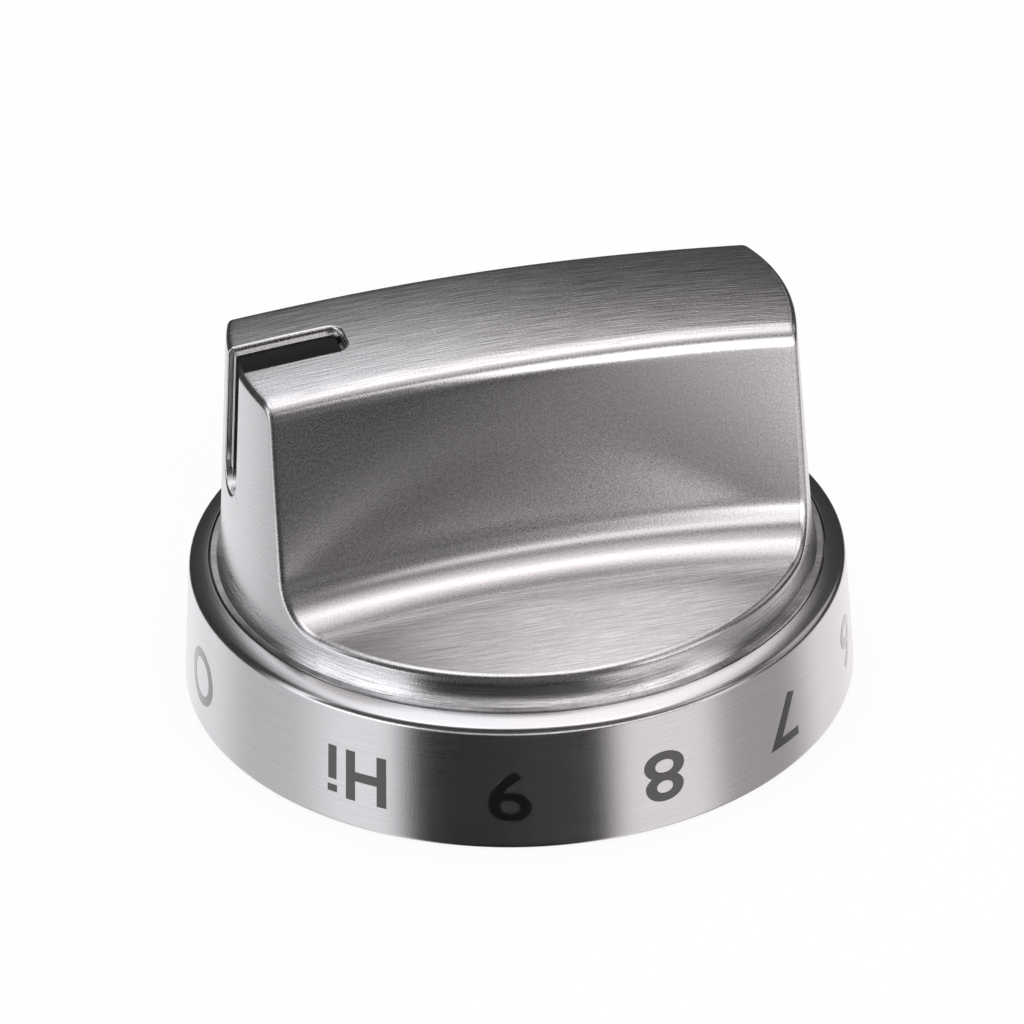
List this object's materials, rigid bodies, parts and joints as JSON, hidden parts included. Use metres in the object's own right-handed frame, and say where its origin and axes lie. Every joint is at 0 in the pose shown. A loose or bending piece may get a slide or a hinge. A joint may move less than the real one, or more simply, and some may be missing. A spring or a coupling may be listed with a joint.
{
  "type": "oven control knob",
  "caption": "Round oven control knob: a scooped metal grip bar with an inlaid black pointer on a drafted dial skirt, pushed onto a flatted shaft.",
  "frame": {"origin": "centre of the dial skirt's bottom rim, on the shaft axis", "axes": "+Z along the shaft axis, away from the appliance; X along the grip bar, with the pointer end towards -X"},
  "size_m": [0.057, 0.057, 0.0343],
  "materials": {
    "grip_metal": "brushed along the bar, satin walls",
    "inlay_black": "matt black",
    "skirt_steel": "satin, turned lines round the axis",
    "carrier_plastic": "moulded, fine texture",
    "spring_steel": "rolled strip",
    "screw_steel": "zinc plated"
  },
  "bodies": {
    "root": {"grip": "grip_metal", "pointer_inlay": "inlay_black", "dial_skirt": "skirt_steel", "hub_carrier": "carrier_plastic", "shaft_spring_ring": "spring_steel", "carrier_screws": "screw_steel"}
  },
  "joints": []
}
